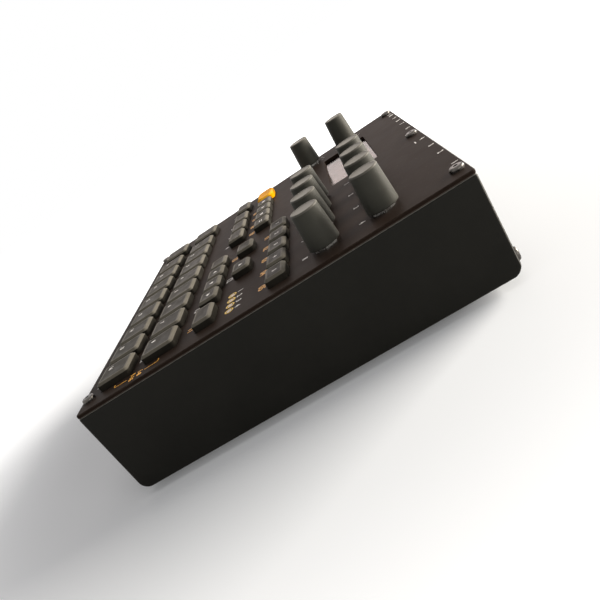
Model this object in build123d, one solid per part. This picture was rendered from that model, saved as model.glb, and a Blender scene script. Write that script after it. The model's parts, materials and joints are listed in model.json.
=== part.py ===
from build123d import *
from math import cos, pi, sin
import os

# Desktop groovebox synthesizer in a folded steel case.  Millimetres.
# Origin: centre of the footprint at the bottom of the feet.  X right, Y to the rear, Z up.

# --- case ---
case_width = 215.0
case_depth = 176.0
case_height = 43.1          # underside of the tub to the top of the panel
sheet = 1.2                 # tub steel
bend_radius = 4.5           # front and rear bottom bends
side_radius = 1.2           # side bottom edges and upright corners
rim_radius = 1.1            # rolled edge under the panel
flange_width = 7.5          # inward rim that carries the panel
panel_thickness = 1.5
panel_corner = 1.6
panel_edge = 0.4            # broken edge of the panel's top face
foot_height = 3.3
foot_radius = 7.0
foot_inset_x = 17.5
foot_inset_y = 18.0

# --- threads and screws ---
screw_radius = 1.45         # M3 shank
screw_clearance = 0.15
head_radius = 2.9
head_height = 1.7
nut_block = 8.0
panel_screw_inset_x = 10.5
panel_screw_inset_y = 4.0
rear_screw_inset_x = 6.8
rear_screw_drop = 5.7       # screw axis above the underside of the tub
vesa_pitch = 100.0
vesa_radius = 2.0
vesa_boss_radius = 4.0
vesa_depth = 7.4            # sheet and boss together

# --- keys ---
key_rise = 3.5              # key top above the panel
key_bevel = 1.0
key_corner = 1.6
key_clearance = 0.3         # to the edge of its hole
key_travel = 0.8
key_play = 0.25             # collar to the underside of the panel
collar_lip = 0.9
collar_thickness = 1.0
plunger_radius = 2.0
plunger_length = 0.7
stem_gap = 0.1              # left under a fully pressed key
column_count = 8
key_gap = 3.5
left_key_margin = 18.0      # left edge of the case to the left column's keys
right_key_margin = 10.7     # right edge of the case to the last column's keys
left_column_gap = 5.3       # extra space beside the left column
step_key_depth = 16.0
step_front_margin = 9.7     # front edge of the case to the first key row
step_row_gap = 6.5
small_key_width = 13.0
row_key_depth = 9.5
function_key_width = 19.0
function_key_depth = 11.0
function_key_corner = 3.0
parameter_key_width = 14.5
parameter_key_margin = 8.75  # right edge of the case to the last parameter key
parameter_key_gap = 3.8
arrow_key_gap = 2.6
arrow_spare_share = 0.2125  # of the small keys' spare width, beside the page key
transport_key_gap = 2.5
transport_spare_share = 0.203125  # of the same spare width, beside the function key
mode_key_shift = -2.5
arrow_row_inset = 62.0
mode_row_inset = 69.2
choice_row_inset = 77.5
transport_row_inset = 85.5
parameter_row_inset = 96.6

# --- knobs and encoders ---
knob_radius = 6.65
knob_top_radius = 5.75
knob_height = 15.4
knob_lift = 1.2             # skirt above the panel
knob_edge = 0.8
knob_recess_gap = 1.0       # recess wall to the flats of the nut inside it
knob_recess_depth = 3.4
knob_roof = 3.0             # solid rubber above the shaft
shaft_radius = 3.0
shaft_grip = 0.02           # shaft to knob bore
shaft_running = 0.06        # shaft to bushing bore
shaft_end_gap = 0.3
bushing_wall = 0.44
bushing_rise = 3.0
bushing_clearance = 0.2
bushing_floor = 1.2
nut_wall = 1.2              # bushing thread to a flat of the nut
nut_thickness = 1.8
encoder_width = 12.4
encoder_depth = 13.2
encoder_height = 6.9
knob_inset_right = 18.5
knob_inset_left = 14.5
knob_inset_rear = 32.3
knob_pitch = 25.4
data_knob_columns = 4

# --- screen and lamps ---
window_width = 76.0
window_depth = 27.0
window_inset_left = 67.5    # window centre from the left edge
window_inset_rear = 36.0
window_corner = 1.0
lens_margin = 2.0
lens_thickness = 1.5
lens_gap = 0.2
glass_thickness = 2.0
display_margin = 1.5        # display carrier past the lens
lamp_count = 4
lamp_radius = 1.2
lamp_clearance = 0.1
lamp_collar = 2.0
lamp_collar_thickness = 0.8
lamp_inset = 13.0
lamp_pitch = 5.9
lamp_row_inset = 73.5

# --- boards ---
board_thickness = 1.6
board_gap = 0.8             # control board to the rim's inner edge
post_radius = 2.25
post_side_inset = 4.2       # post axis from the control board's edge
post_rear_inset = 5.5
post_row_shift = 0.05       # front posts behind the middle between the step rows
post_front_spread = 68.0
post_arrow_gap = 5.0        # rear step row to the next posts' axis
post_parameter_inset = 107.0
post_screw_length = 6.0
switch_size = 6.2
switch_height = 3.6
stem_radius = 1.7
din_headroom = 0.1          # socket top to the board screws above it
io_board_depth = 36.0
io_board_inset = 2.5
io_post_radius = 3.0
chip_height = 1.4
capacitor_radius = 3.1
capacitor_height = 8.0

# --- rear connectors, positions along X of each centre ---
jack_first = -41.5
jack_gap = 1.7
jack_count = 5
jack_bore_radius = 3.25
jack_bore_depth = 20.0
jack_nose_radius = 4.5
jack_nose_rise = 0.8
jack_width = 12.6
jack_body_depth = 23.0
jack_nut_radius = 6.0
jack_nut_thickness = 1.3
nose_clearance = 0.2
thread_gap = 0.05
din_positions = [19.5, -1.0, -21.5]
din_radius = 7.6
din_width = 18.6
din_height = 19.0
din_depth = 12.0
din_groove_inner = 5.8
din_groove_outer = 6.8
din_groove_depth = 4.0
din_pin_radius = 0.85
din_pin_circle = 3.6
usb_position = 41.0
usb_width = 12.0
usb_height = 11.0
usb_depth = 16.0
usb_mouth_width = 8.6
usb_mouth_height = 7.9
usb_tongue_width = 5.6
usb_tongue_height = 3.2
usb_mouth_depth = 9.0
inlet_position = 60.5
inlet_width = 9.0
inlet_height = 11.0
inlet_depth = 14.0
inlet_bore_radius = 2.9
inlet_bore_depth = 9.5
inlet_pin_radius = 1.0
inlet_pin_setback = 1.0

# --- power switch ---
power_position = 86.0
power_centre_rise = 20.5    # rocker axis above the underside of the tub
bezel_width = 11.0
bezel_height = 17.0
bezel_thickness = 1.2
bezel_corner = 1.0
switch_body_width = 9.4
switch_body_height = 15.0
switch_body_depth = 13.0
rocker_width = 6.8
rocker_height = 11.6
rocker_depth = 4.4
rocker_side_gap = 0.3
rocker_end_gap = 0.9
rocker_tilt = 7.0
rocker_setback = 1.4        # rocker axis inside the outer wall face
rocker_pin_radius = 1.0
rocker_pin_running = 0.06
rocker_pin_grip = 0.7
rocker_dish = 0.7

# --- places worked out from the sizes above ---
half_width = case_width / 2
half_depth = case_depth / 2
tub_top = foot_height + case_height - panel_thickness
panel_top = tub_top + panel_thickness
floor_top = foot_height + sheet
rear_inside = half_depth - sheet
collar_top = tub_top - key_play
collar_bottom = collar_top - collar_thickness
plunger_bottom = collar_bottom - plunger_length
board_top = tub_top - encoder_height
board_bottom = board_top - board_thickness
board_half_width = half_width - flange_width - board_gap
board_half_depth = half_depth - flange_width - board_gap
io_top = board_bottom - head_height - din_headroom - din_height
io_bottom = io_top - board_thickness
bushing_radius = shaft_radius + shaft_running + bushing_wall
nut_across_flats = 2 * (bushing_radius + nut_wall)
knob_recess_radius = nut_across_flats / 2 + knob_recess_gap
knob_bottom = panel_top + knob_lift
key_column_span = case_width - left_key_margin - right_key_margin - left_column_gap
step_key_width = (key_column_span - column_count * key_gap) / (column_count + 1)
column_pitch = step_key_width + key_gap
left_column_inset = left_key_margin + step_key_width / 2
left_column_x = left_column_inset - half_width
right_column_x = half_width - right_key_margin - step_key_width / 2
step_row_inset = step_front_margin + step_key_depth / 2
step_row_pitch = step_key_depth + step_row_gap
post_front_inset = step_row_inset + step_row_pitch / 2 + post_row_shift
post_arrow_inset = step_row_inset + step_row_pitch + step_key_depth / 2 + post_arrow_gap
parameter_key_inset = parameter_key_margin + parameter_key_width / 2
parameter_key_pitch = parameter_key_width + parameter_key_gap
arrow_key_pitch = small_key_width + arrow_key_gap
transport_key_pitch = small_key_width + transport_key_gap
function_key_right = left_column_inset + function_key_width / 2
page_key_left = right_key_margin + step_key_width
small_key_run = 2 * small_key_width + 3 * (arrow_key_pitch + transport_key_pitch)
small_key_spare = case_width - function_key_right - page_key_left - small_key_run
arrow_spare = arrow_spare_share * small_key_spare
arrow_key_inset = page_key_left + arrow_spare + small_key_width / 2
transport_spare = transport_spare_share * small_key_spare
transport_key_inset = function_key_right + transport_spare + small_key_width / 2
jack_pitch = jack_width + jack_gap
screen_x = window_inset_left - half_width
screen_y = half_depth - window_inset_rear
power_z = foot_height + power_centre_rise


def plate(x, y, z, width, depth, height, corner=0.0):
    """Upright block on a plain or rounded rectangle, its base centred at x, y, z."""
    outline = RectangleRounded(width, depth, corner) if corner > 0 else Rectangle(width, depth)
    return extrude(Pos(x, y, z) * outline, amount=height)


def post(x, y, z, radius, height):
    """Upright round bar standing on z."""
    return extrude(Pos(x, y, z) * Circle(radius), amount=height)


def rod_back(x, y, z, radius, length):
    """Round bar along +Y that starts at y."""
    return Pos(x, y, z) * Rot(-90, 0, 0) * extrude(Circle(radius), amount=length)


def block(x0, x1, y0, y1, z0, z1):
    """Box between two corners."""
    middle = Pos((x0 + x1) / 2, (y0 + y1) / 2, (z0 + z1) / 2)
    return middle * Box(x1 - x0, y1 - y0, z1 - z0)


def save(name, solids):
    """Write one node; a list becomes a group of separate solids."""
    shape = Compound(list(solids)) if isinstance(solids, list) else solids
    export_step(shape, "parts/" + name + ".step")


# --- layout ---

def column_x(number):
    """Centre of one of the eight numbered columns, 0 at the left."""
    return right_column_x - (column_count - 1 - number) * column_pitch


def row_y(inset):
    return inset - half_depth


def key_layout():
    """Every key as name: (x, y, width, depth, corner)."""
    keys = {}
    for row in range(2):
        y = row_y(step_row_inset + (1 - row) * step_row_pitch)
        side_name = ["key_pattern", "key_bank"][row]
        keys[side_name] = (left_column_x, y, step_key_width, step_key_depth, key_corner)
        for column in range(column_count):
            name = f"key_step_{row * column_count + column + 1:02d}"
            keys[name] = (column_x(column), y, step_key_width, step_key_depth, key_corner)
    small = (small_key_width, row_key_depth, key_corner)
    wide = (step_key_width, row_key_depth, key_corner)
    arrows = half_width - arrow_key_inset
    for index, name in enumerate(["key_right", "key_down", "key_left", "key_no"]):
        keys[name] = (arrows - index * arrow_key_pitch, row_y(arrow_row_inset)) + small
    keys["key_page"] = (right_column_x, row_y(arrow_row_inset)) + wide
    keys["key_up"] = (arrows - arrow_key_pitch, row_y(choice_row_inset)) + small
    keys["key_yes"] = (arrows - 3 * arrow_key_pitch, row_y(choice_row_inset)) + small
    for index in range(5):
        x = half_width - parameter_key_inset - (4 - index) * parameter_key_pitch
        size = (parameter_key_width, row_key_depth, key_corner)
        keys[f"key_parameter_{index + 1}"] = (x, row_y(parameter_row_inset)) + size
    for index in range(4):
        x = transport_key_inset - half_width + index * transport_key_pitch
        keys[f"key_transport_{index + 1}"] = (x, row_y(transport_row_inset)) + small
    for index in range(4):
        x = (left_column_x if index == 0 else column_x(index - 1)) + mode_key_shift
        keys[f"key_mode_{index + 1}"] = (x, row_y(mode_row_inset)) + wide
    function_size = (function_key_width, function_key_depth, function_key_corner)
    keys["key_function"] = (left_column_x, row_y(transport_row_inset)) + function_size
    return keys


def knob_layout():
    """Every knob as name: (x, y)."""
    rear = half_depth - knob_inset_rear
    left = knob_inset_left - half_width
    knobs = {"knob_volume": (left, rear), "knob_level": (left, rear - knob_pitch)}
    for row in range(2):
        for column in range(data_knob_columns):
            x = half_width - knob_inset_right - (data_knob_columns - 1 - column) * knob_pitch
            name = f"knob_data_{row * data_knob_columns + column + 1}"
            knobs[name] = (x, rear - row * knob_pitch)
    return knobs


def lamp_places():
    last = half_width - lamp_inset
    return [(last - index * lamp_pitch, row_y(lamp_row_inset)) for index in range(lamp_count)]


def panel_screw_places():
    x = half_width - panel_screw_inset_x
    y = half_depth - panel_screw_inset_y
    return [(-x, y), (0, y), (x, y), (-x, -y), (x, -y)]


def post_places():
    """Posts that hang the control board from the panel."""
    side = board_half_width - post_side_inset
    rear = board_half_depth - post_rear_inset
    sides = [(s * side, y) for s in (-1, 1)
             for y in (row_y(post_arrow_inset), row_y(post_parameter_inset), rear)]
    front = [(s * post_front_spread, row_y(post_front_inset)) for s in (-1, 0, 1)]
    return sides + front + [(0, rear)]


def io_board_sides():
    """Low and high X and Y of the connector board."""
    rear = rear_inside - io_board_inset
    side = half_width - sheet - io_board_inset
    return -side, side, rear - io_board_depth, rear


def io_post_places():
    low_x, high_x, low_y, high_y = io_board_sides()
    inset = io_post_radius + 1.0
    return [(x, low_y + inset) for x in (low_x + inset, 0, high_x - inset)]


def rear_screw_places():
    x = half_width - rear_screw_inset_x
    return [(-x, foot_height + rear_screw_drop), (x, foot_height + rear_screw_drop)]


def vesa_places():
    return [(a * vesa_pitch / 2, b * vesa_pitch / 2) for a in (-1, 1) for b in (-1, 1)]


def jack_positions():
    return [jack_first - index * jack_pitch for index in range(jack_count)]


# --- case ---

def bottom_case():
    """Folded tub with an inward rim, nut bosses in its floor and nut blocks at its rear."""
    height = tub_top - foot_height
    outer = plate(0, 0, foot_height, case_width, case_depth, height)
    low = outer.faces().sort_by(Axis.Z)[0].edges()
    outer = fillet(low.filter_by(Axis.X), bend_radius)
    outer = fillet(outer.edges().filter_by(Axis.Z), side_radius)
    outer = fillet(outer.faces().sort_by(Axis.Z)[-1].edges(), rim_radius)
    inner = plate(0, 0, floor_top, case_width - 2 * sheet, case_depth - 2 * sheet,
                  height - 2 * sheet)
    inner_low = inner.faces().sort_by(Axis.Z)[0].edges().filter_by(Axis.X)
    inner = fillet(inner_low, bend_radius - sheet)
    mouth = plate(0, 0, floor_top + sheet, case_width - 2 * flange_width,
                  case_depth - 2 * flange_width, height)
    tub = outer - inner - mouth
    for x, z in rear_screw_places():
        half = nut_block / 2
        tub += block(x - half, x + half, rear_inside - nut_block, half_depth - sheet / 2,
                     z - half, z + half)
    for x, y in vesa_places():
        tub += post(x, y, foot_height + sheet / 2, vesa_boss_radius, vesa_depth - sheet / 2)
    for x, y in vesa_places():
        tub -= post(x, y, foot_height - sheet, vesa_radius, vesa_depth + 2 * sheet)
    hole = screw_radius + screw_clearance
    for x, y in panel_screw_places():
        tub -= post(x, y, tub_top - 2 * sheet, hole, 3 * sheet)
    for x, z in rear_screw_places():
        tub -= rod_back(x, rear_inside - nut_block - sheet, z, hole, nut_block + 3 * sheet)
    for opening in rear_openings():
        tub -= opening
    return tub


def rear_openings():
    """Cutters for every connector hole in the rear wall."""
    start = rear_inside - sheet
    through = 3 * sheet
    gap = nose_clearance
    cutters = []
    for x in jack_positions():
        cutters.append(rod_back(x, start, jack_axis_z(), jack_nose_radius + gap, through))
    for x in din_positions:
        cutters.append(rod_back(x, start, din_axis_z(), din_radius + gap, through))
    cutters.append(block(usb_position - usb_width / 2 - gap, usb_position + usb_width / 2 + gap,
                         start, start + through, io_top - gap, io_top + usb_height + gap))
    cutters.append(block(inlet_position - inlet_width / 2 - gap,
                         inlet_position + inlet_width / 2 + gap,
                         start, start + through, io_top - gap, io_top + inlet_height + gap))
    wide = switch_body_width / 2 + gap
    tall = switch_body_height / 2 + gap
    cutters.append(block(power_position - wide, power_position + wide, start, start + through,
                         power_z - tall, power_z + tall))
    return cutters


def top_panel():
    """Flat steel control plate with a hole for every control."""
    outline = RectangleRounded(case_width, case_depth, panel_corner)
    for x, y, width, depth, corner in key_layout().values():
        hole = RectangleRounded(width + 2 * key_clearance, depth + 2 * key_clearance,
                                corner + key_clearance)
        outline -= Pos(x, y) * hole
    for x, y in knob_layout().values():
        outline -= Pos(x, y) * Circle(bushing_radius + bushing_clearance)
    outline -= Pos(screen_x, screen_y) * RectangleRounded(window_width, window_depth,
                                                          window_corner)
    for x, y in lamp_places():
        outline -= Pos(x, y) * Circle(lamp_radius + lamp_clearance)
    for x, y in panel_screw_places():
        outline -= Pos(x, y) * Circle(screw_radius + screw_clearance)
    panel = extrude(Pos(0, 0, tub_top) * outline, amount=panel_thickness)
    top_face = panel.faces().sort_by(Axis.Z)[-1]
    return chamfer(top_face.outer_wire().edges(), panel_edge)


def rubber_feet():
    """Four discs stuck under the floor."""
    x = half_width - foot_inset_x
    y = half_depth - foot_inset_y
    feet = []
    for place in [(-x, -y), (x, -y), (x, y), (-x, y)]:
        disc = post(place[0], place[1], 0, foot_radius, foot_height)
        feet.append(fillet(disc.edges().sort_by(Axis.Z)[0], foot_height / 4))
    return feet


def button_screw(length):
    """Screw along -Z with its domed head above z = 0."""
    head = post(0, 0, 0, head_radius, head_height)
    head = fillet(head.edges().sort_by(Axis.Z)[-1], head_height * 0.6)
    socket = extrude(Pos(0, 0, head_height / 2) * RegularPolygon(head_radius / 3, 6),
                     amount=head_height)
    return head + post(0, 0, -length, screw_radius, length) - socket


def case_fasteners():
    """Panel and rear screws, board posts and the screws in them."""
    solids = []
    for x, y in panel_screw_places():
        solids.append(Pos(x, y, panel_top) * button_screw(panel_thickness + 3 * sheet))
    for x, z in rear_screw_places():
        solids.append(Pos(x, half_depth, z) * Rot(-90, 0, 0) * button_screw(nut_block))
    bore = screw_radius + screw_clearance
    for x, y in post_places():
        tube = post(x, y, board_top, post_radius, encoder_height)
        solids.append(tube - post(x, y, board_top, bore, post_screw_length))
        screw = button_screw(board_thickness + post_screw_length - 1)
        solids.append(Pos(x, y, board_bottom) * Rot(180, 0, 0) * screw)
    for x, y in io_post_places():
        tube = post(x, y, floor_top, io_post_radius, io_bottom - floor_top)
        start = io_bottom - post_screw_length
        solids.append(tube - post(x, y, start, bore, post_screw_length))
        screw = button_screw(board_thickness + post_screw_length - 1)
        solids.append(Pos(x, y, io_top) * screw)
    return solids


# --- keys ---

def key(x, y, width, depth, corner):
    """Bevelled key cap with a collar under the panel and a plunger over its switch."""
    top = panel_top + key_rise
    cap = plate(x, y, collar_bottom, width, depth, top - collar_bottom, corner)
    cap = chamfer(cap.faces().sort_by(Axis.Z)[-1].edges(), key_bevel)
    collar = plate(x, y, collar_bottom, width + 2 * collar_lip, depth + 2 * collar_lip,
                   collar_thickness, corner + collar_lip)
    return cap + collar + post(x, y, plunger_bottom, plunger_radius, plunger_length)


def key_switches():
    """One push switch under every key, standing on the control board."""
    stem_top = plunger_bottom - key_travel - stem_gap
    switches = []
    for x, y, width, depth, corner in key_layout().values():
        body = plate(x, y, board_top, switch_size, switch_size, switch_height, 0.4)
        stem_height = stem_top - board_top - switch_height
        switches.append(body + post(x, y, board_top + switch_height, stem_radius, stem_height))
    return switches


# --- knobs ---

def knob(x, y):
    """Tapered knob with a recess over its nut, and the steel shaft it grips."""
    profile = [(0, 0), (knob_radius, 0), (knob_top_radius, knob_height), (0, knob_height)]
    side = Plane.XZ * make_face(Polyline(*profile, close=True))
    cap = revolve(side, Axis.Z)
    cap = fillet(cap.edges().sort_by(Axis.Z)[-1], knob_edge)
    cap -= post(0, 0, 0, knob_recess_radius, knob_recess_depth)
    bore_height = knob_height - knob_roof
    cap -= post(0, 0, 0, shaft_radius + shaft_grip, bore_height)
    shaft_bottom = board_top + bushing_floor + shaft_end_gap
    shaft_height = knob_bottom + bore_height - shaft_bottom
    shaft = post(x, y, shaft_bottom, shaft_radius, shaft_height)
    return [Pos(x, y, knob_bottom) * cap, shaft]


def encoder_housings():
    """Encoder bodies with threaded bushings, each clamped to the panel by a nut."""
    solids = []
    for x, y in knob_layout().values():
        body = plate(x, y, board_top, encoder_width, encoder_depth, encoder_height, 0.6)
        bushing_height = panel_thickness + bushing_rise
        body += post(x, y, tub_top, bushing_radius, bushing_height)
        bore_height = encoder_height + bushing_height
        body -= post(x, y, board_top + bushing_floor, shaft_radius + shaft_running, bore_height)
        solids.append(body)
        hexagon = RegularPolygon(nut_across_flats / 2, 6, major_radius=False)
        ring = hexagon - Circle(bushing_radius + thread_gap)
        solids.append(extrude(Pos(x, y, panel_top) * ring, amount=nut_thickness))
    return solids


# --- screen, lamps and boards ---

def clear_lenses():
    """Screen window under the panel and the light pipes of the page lamps."""
    window = plate(screen_x, screen_y, tub_top - lens_thickness, window_width + 2 * lens_margin,
                   window_depth + 2 * lens_margin, lens_thickness, window_corner)
    solids = [window]
    for x, y in lamp_places():
        pipe = post(x, y, board_top, lamp_radius, panel_top - board_top)
        collar_z = tub_top - lamp_collar_thickness
        solids.append(pipe + post(x, y, collar_z, lamp_collar, lamp_collar_thickness))
    return solids


def display_module():
    """Display carrier on the control board with its glass facing the window."""
    glass_top = tub_top - lens_thickness - lens_gap
    glass_bottom = glass_top - glass_thickness
    margin = lens_margin + display_margin
    carrier = plate(screen_x, screen_y, board_top, window_width + 2 * margin,
                    window_depth + 2 * margin, glass_bottom - board_top)
    glass = plate(screen_x, screen_y, glass_bottom, window_width + lens_margin,
                  window_depth + lens_margin, glass_thickness)
    return [carrier, glass]


def circuit_boards():
    """Control board, connector board, the stacking plug between them and their parts."""
    control = plate(0, 0, board_bottom, 2 * board_half_width, 2 * board_half_depth,
                    board_thickness)
    hole = screw_radius + screw_clearance
    for x, y in post_places():
        control -= post(x, y, board_bottom, hole, board_thickness)
    low_x, high_x, low_y, high_y = io_board_sides()
    connector = block(low_x, high_x, low_y, high_y, io_bottom, io_top)
    for x, y in io_post_places():
        connector -= post(x, y, io_bottom, hole, board_thickness)
    plug_y = low_y + 5.0
    plug = block(-60, -30, plug_y - 2.5, plug_y + 2.5, io_top, board_bottom)
    solids = [control, connector, plug]
    for x, y, size in [(-35, -20, 20.0), (10, -10, 14.0), (40, -30, 10.0)]:
        solids.append(plate(x, y, board_bottom - chip_height, size, size, chip_height))
    for index in range(4):
        x = high_x - 12.0 - 2.6 * capacitor_radius * index
        solids.append(post(x, low_y + 2 * capacitor_radius, io_top, capacitor_radius,
                           capacitor_height))
    return solids


# --- rear connectors ---

def jack_axis_z():
    return io_top + jack_width / 2


def din_axis_z():
    return io_top + din_height / 2


def jack(x):
    """Phone jack with a threaded nose through the rear wall, and its ring nut."""
    z = jack_axis_z()
    half = jack_width / 2
    body = block(x - half, x + half, rear_inside - jack_body_depth, rear_inside, z - half, z + half)
    body += rod_back(x, rear_inside, z, jack_nose_radius, sheet + jack_nose_rise)
    mouth = half_depth + jack_nose_rise
    body -= rod_back(x, mouth - jack_bore_depth, z, jack_bore_radius, jack_bore_depth)
    nut = rod_back(x, half_depth, z, jack_nut_radius, jack_nut_thickness)
    nut = chamfer(nut.edges().filter_by(GeomType.CIRCLE).sort_by(Axis.Y)[-1], 0.3)
    nut -= rod_back(x, half_depth, z, jack_nose_radius + thread_gap, jack_nut_thickness)
    return [body, nut]


def din_socket(x):
    """Five-hole round socket with a shield groove."""
    z = din_axis_z()
    half = din_width / 2
    body = block(x - half, x + half, rear_inside - din_depth, rear_inside, io_top,
                 io_top + din_height)
    body += rod_back(x, rear_inside, z, din_radius, sheet)
    start = half_depth - din_groove_depth
    ring = rod_back(x, start, z, din_groove_outer, din_groove_depth)
    ring -= rod_back(x, start, z, din_groove_inner, din_groove_depth)
    body -= ring
    for index in range(5):
        angle = pi * index / 4
        pin_x = x + din_pin_circle * cos(angle)
        pin_z = z + din_pin_circle * sin(angle) - din_pin_circle / 4
        body -= rod_back(pin_x, start, pin_z, din_pin_radius, din_groove_depth)
    return body


def usb_socket():
    """Square data socket with a tongue."""
    half = usb_width / 2
    x = usb_position
    z = io_top + usb_height / 2
    body = block(x - half, x + half, half_depth - usb_depth, half_depth, io_top,
                 io_top + usb_height)
    start = half_depth - usb_mouth_depth
    mouth = block(x - usb_mouth_width / 2, x + usb_mouth_width / 2, start, half_depth,
                  z - usb_mouth_height / 2, z + usb_mouth_height / 2)
    top_edges = mouth.edges().filter_by(Axis.Y).sort_by(Axis.Z)[-2:]
    body -= chamfer(top_edges, 1.6)
    tongue_end = half_depth - 1.0
    return body + block(x - usb_tongue_width / 2, x + usb_tongue_width / 2, start, tongue_end,
                        z - usb_tongue_height / 2, z + usb_tongue_height / 2)


def power_inlet():
    """Round low-voltage inlet with a centre pin."""
    half = inlet_width / 2
    z = io_top + inlet_height / 2
    body = block(inlet_position - half, inlet_position + half, half_depth - inlet_depth,
                 half_depth, io_top, io_top + inlet_height)
    start = half_depth - inlet_bore_depth
    body -= rod_back(inlet_position, start, z, inlet_bore_radius, inlet_bore_depth)
    pin_length = inlet_bore_depth - inlet_pin_setback
    return body + rod_back(inlet_position, start, z, inlet_pin_radius, pin_length)


def power_switch_body():
    """Open-fronted switch body with a bezel outside the wall and bores for the rocker's pin."""
    x = power_position
    wide = switch_body_width / 2
    tall = switch_body_height / 2
    body = block(x - wide, x + wide, half_depth - switch_body_depth, half_depth,
                 power_z - tall, power_z + tall)
    bezel = Pos(x, half_depth, power_z) * Rot(-90, 0, 0) * extrude(
        RectangleRounded(bezel_width, bezel_height, bezel_corner), amount=bezel_thickness)
    body += bezel
    pocket_wide = rocker_width / 2 + rocker_side_gap
    pocket_tall = rocker_height / 2 + rocker_end_gap
    pocket_back = half_depth - rocker_setback - rocker_depth
    body -= block(x - pocket_wide, x + pocket_wide, pocket_back, half_depth + bezel_thickness,
                  power_z - pocket_tall, power_z + pocket_tall)
    bore = rocker_pin_radius + rocker_pin_running
    length = 2 * (pocket_wide + rocker_pin_grip)
    axis_place = Pos(x - length / 2, half_depth - rocker_setback, power_z)
    return body - axis_place * Rot(0, 90, 0) * extrude(Circle(bore), amount=length)


def power_rocker():
    """Dished rocker on a cross pin, resting with its upper end pressed in."""
    tall = rocker_height / 2
    front = rocker_depth / 2
    outline = [(-front, -tall), (front, -tall), (front - rocker_dish, 0), (front, tall),
               (-front, tall)]
    side = make_face(Polyline(*outline, close=True))
    body = extrude(Plane.YZ * side, amount=rocker_width / 2, both=True)
    pin_length = rocker_width + 2 * (rocker_side_gap + rocker_pin_grip) - 2 * rocker_pin_running
    pin = Pos(-pin_length / 2, 0, 0) * Rot(0, 90, 0) * extrude(Circle(rocker_pin_radius),
                                                                amount=pin_length)
    place = Pos(power_position, half_depth - rocker_setback, power_z)
    return place * Rot(rocker_tilt, 0, 0) * (body + pin)


def rear_connectors():
    solids = []
    for x in jack_positions():
        solids += jack(x)
    solids += [din_socket(x) for x in din_positions]
    return solids + [usb_socket(), power_inlet(), power_switch_body()]


def main():
    os.makedirs("parts", exist_ok=True)
    save("bottom_case", bottom_case())
    save("top_panel", top_panel())
    save("rubber_feet", rubber_feet())
    save("case_fasteners", case_fasteners())
    save("key_switches", key_switches())
    save("encoder_housings", encoder_housings())
    save("clear_lenses", clear_lenses())
    save("display_module", display_module())
    save("circuit_boards", circuit_boards())
    save("rear_connectors", rear_connectors())
    save("power_rocker", power_rocker())
    for name, place in key_layout().items():
        save(name, key(*place))
    for name, place in knob_layout().items():
        save(name, knob(*place))


main()
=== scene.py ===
import bpy
import json
import numpy as np
from math import cos, pi, radians, sin
from mathutils import Matrix, Vector


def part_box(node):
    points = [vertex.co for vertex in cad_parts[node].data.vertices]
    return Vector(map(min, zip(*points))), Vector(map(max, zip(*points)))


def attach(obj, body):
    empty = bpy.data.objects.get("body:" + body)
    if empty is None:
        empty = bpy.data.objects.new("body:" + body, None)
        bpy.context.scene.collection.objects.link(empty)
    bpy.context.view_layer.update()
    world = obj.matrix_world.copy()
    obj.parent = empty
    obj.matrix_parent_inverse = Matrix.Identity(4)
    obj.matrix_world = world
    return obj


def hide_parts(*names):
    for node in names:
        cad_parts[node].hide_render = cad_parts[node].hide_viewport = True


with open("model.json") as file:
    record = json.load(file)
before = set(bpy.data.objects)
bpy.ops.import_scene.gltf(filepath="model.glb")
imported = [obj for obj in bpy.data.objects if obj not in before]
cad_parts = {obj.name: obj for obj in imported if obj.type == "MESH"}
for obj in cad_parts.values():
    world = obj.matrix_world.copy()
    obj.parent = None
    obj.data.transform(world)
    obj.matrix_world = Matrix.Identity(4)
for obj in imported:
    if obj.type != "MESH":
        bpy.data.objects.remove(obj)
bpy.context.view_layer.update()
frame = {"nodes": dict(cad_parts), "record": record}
mm = 0.001
print("frame loaded")

rightEdge, rearEdge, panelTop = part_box("top_panel")[1]
keyNames = sorted(n for n in frame["nodes"] if n.startswith("key_") and n != "key_switches")
knobNames = sorted(n for n in frame["nodes"] if n.startswith("knob_"))

cameraSet = {
    "place": (0.33435, 0.05583, 0.11083),
    "aim": (0.19926, 0.02121, 0.04640),
    "roll": -35.88,          # degrees about the line of sight
    "focal": 39.23,          # millimetres on a 36 mm sensor
    "shift": (-0.028, 0.1575),
    "clip": (0.01, 100),
}


def placeCamera(values):
    # a camera at place that looks at aim, rolled about its line of sight
    lens = bpy.data.cameras.new("viewCamera")
    lens.lens = values["focal"]
    lens.shift_x, lens.shift_y = values["shift"]
    lens.clip_start, lens.clip_end = values["clip"]
    camera = bpy.data.objects.new("viewCamera", lens)
    bpy.context.scene.collection.objects.link(camera)
    forward = (Vector(values["aim"]) - Vector(values["place"])).normalized()
    level = forward.cross(Vector((0, 0, 1))).normalized()
    turn = radians(values["roll"])
    right = level * cos(turn) + level.cross(forward) * sin(turn)
    up = right.cross(forward)
    camera.matrix_world = Matrix.Translation(values["place"]) @ Matrix(
        (right, up, -forward)).transposed().to_4x4()
    bpy.context.scene.camera = camera


lampSet = {
    # name: place, aim, width, height, watts, colour
    "rearWindow": ((-0.35, 1.30, 0.34), (0.0, 0.0, 0.05), 0.8, 0.5, 52, (1.0, 0.945, 0.86)),
    "ceiling": ((0.10, 0.25, 1.50), (0.0, 0.0, 0.05), 1.4, 1.4, 3.5, (1.0, 0.95, 0.90)),
    "leftWall": ((-1.60, -0.10, 0.70), (0.0, 0.0, 0.05), 1.3, 0.8, 2.5, (1.0, 0.74, 0.66)),
    "rightFill": ((1.10, 0.75, 0.40), (0.0, 0.0, 0.03), 0.8, 0.6, 4.0, (1.0, 0.98, 0.94)),
}


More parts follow.
